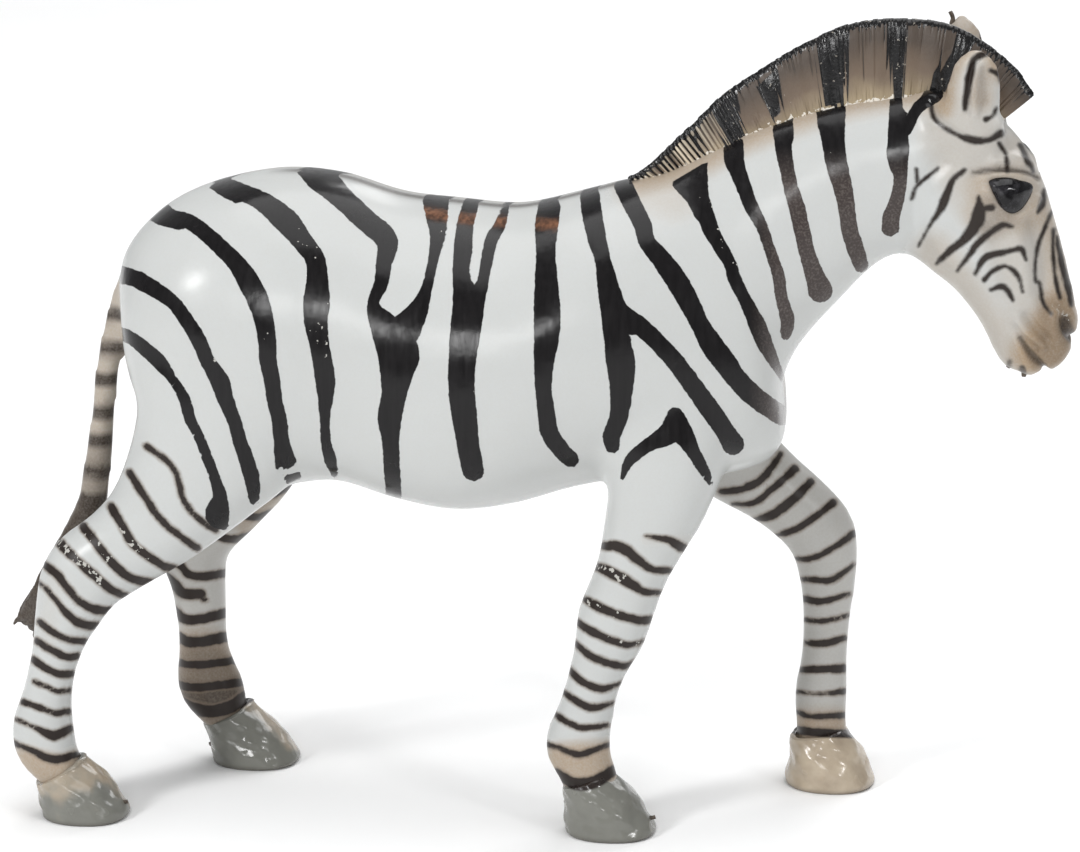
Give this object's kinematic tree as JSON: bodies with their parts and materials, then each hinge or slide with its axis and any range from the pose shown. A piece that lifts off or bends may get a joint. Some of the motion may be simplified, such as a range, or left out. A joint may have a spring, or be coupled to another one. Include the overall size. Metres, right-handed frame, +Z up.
{
  "type": "zebra figurine",
  "caption": "Moulded toy zebra in a walking pose, standing on its hooves, with an upright grooved mane and a hanging tail.",
  "frame": {"origin": "on the ground, below the middle of the figure's length and width", "axes": "+X from the tail to the nose, +Y to the zebra's left, +Z up"},
  "size_m": [0.121, 0.0336, 0.0913],
  "materials": {
    "moulded_plastic": "milky white soft plastic, glossy, with glossy near-black hand-painted stripes and airbrushed brown shading"
  },
  "bodies": {
    "root": {"zebra_figurine": "moulded_plastic"}
  },
  "joints": []
}
